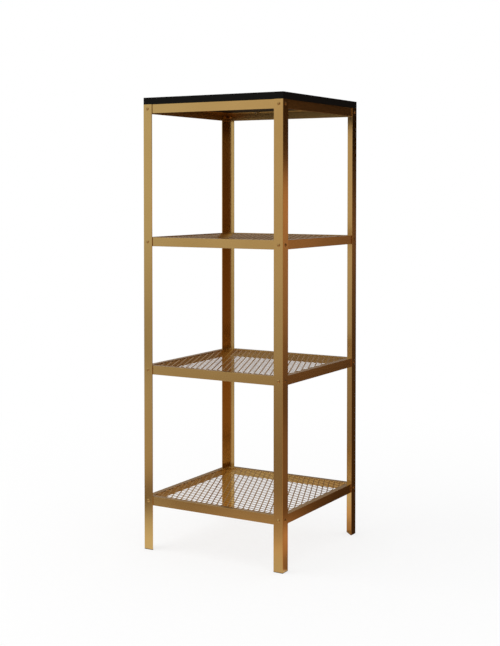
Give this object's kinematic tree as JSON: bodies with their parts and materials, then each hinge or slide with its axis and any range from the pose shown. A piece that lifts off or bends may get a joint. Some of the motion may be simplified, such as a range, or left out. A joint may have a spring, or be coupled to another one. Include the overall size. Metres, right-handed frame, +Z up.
{
  "type": "open shelving unit",
  "caption": "Tall square etagere with expanded metal shelves in an angle frame, under a flat dark top board.",
  "frame": {"origin": "on the floor under the middle of the square footprint", "axes": "+X to the object's right seen from its front, +Y to its back, +Z up"},
  "size_m": [0.404, 0.404, 1.14],
  "materials": {
    "legs": "satin brass-coloured plating",
    "foot_plates": "satin brass-coloured plating",
    "rails": "satin brass-coloured plating",
    "mesh": "satin brass-coloured plating",
    "bolts": "brass-coloured plating",
    "nuts": "brass-coloured plating",
    "screws": "zinc plating",
    "board": "matte black laminate on a wood-based board"
  },
  "bodies": {
    "root": {"leg_front_left": "legs", "leg_front_right": "legs", "leg_back_right": "legs", "leg_back_left": "legs", "foot_plate_front_left": "foot_plates", "foot_plate_front_right": "foot_plates", "foot_plate_back_right": "foot_plates", "foot_plate_back_left": "foot_plates", "rail_lower_front": "rails", "rail_lower_right": "rails", "rail_lower_back": "rails", "rail_lower_left": "rails", "rail_middle_front": "rails", "rail_middle_right": "rails", "rail_middle_back": "rails", "rail_middle_left": "rails", "rail_upper_front": "rails", "rail_upper_right": "rails", "rail_upper_back": "rails", "rail_upper_left": "rails", "rail_top_front": "rails", "rail_top_right": "rails", "rail_top_back": "rails", "rail_top_left": "rails", "mesh_lower": "mesh", "mesh_middle": "mesh", "mesh_upper": "mesh", "bolts_lower": "bolts", "bolts_middle": "bolts", "bolts_upper": "bolts", "bolts_top": "bolts", "nuts_lower": "nuts", "nuts_middle": "nuts", "nuts_upper": "nuts", "nuts_top": "nuts", "board_screws": "screws", "top_board": "board"}
  },
  "joints": []
}
